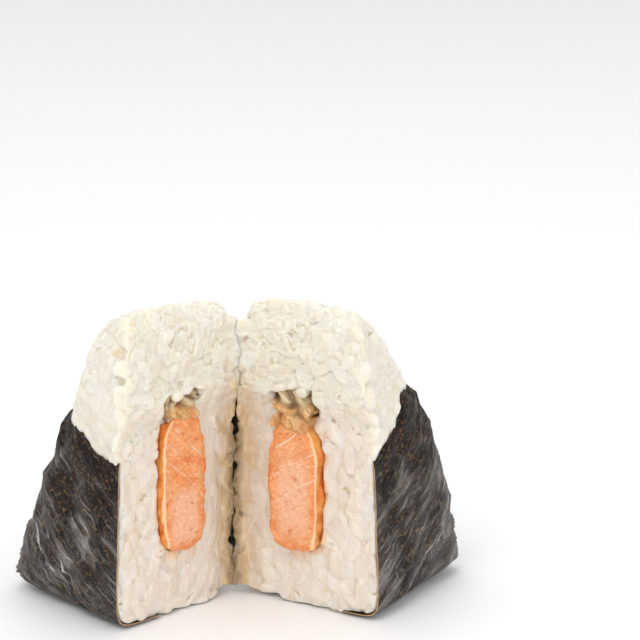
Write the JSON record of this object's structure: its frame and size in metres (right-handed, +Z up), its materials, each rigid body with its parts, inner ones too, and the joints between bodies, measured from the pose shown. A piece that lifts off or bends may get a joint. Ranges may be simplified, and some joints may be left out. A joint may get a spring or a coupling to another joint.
{
  "type": "onigiri rice ball",
  "caption": "Triangular onigiri cut down the middle and opened on its nori hinge: two halves of pressed rice, each showing salmon and belly skin on its cut face.",
  "frame": {"origin": "under the middle of the part's box, on the plane it rests on", "axes": "+Z up, +X to the right of the two cut faces, the opening faces -Y and the hinge is towards +Y"},
  "size_m": [0.1038, 0.0518, 0.0718],
  "materials": {
    "rice": "moist cooked rice",
    "nori": "softened nori, satin",
    "salmon": "cooked salmon, moist",
    "belly_skin": "cooked fish skin, moist"
  },
  "bodies": {
    "root": {"nori": "nori", "rice_left": "rice", "rice_right": "rice", "salmon_left": "salmon", "salmon_right": "salmon", "belly_left": "belly_skin", "belly_right": "belly_skin"}
  },
  "joints": []
}
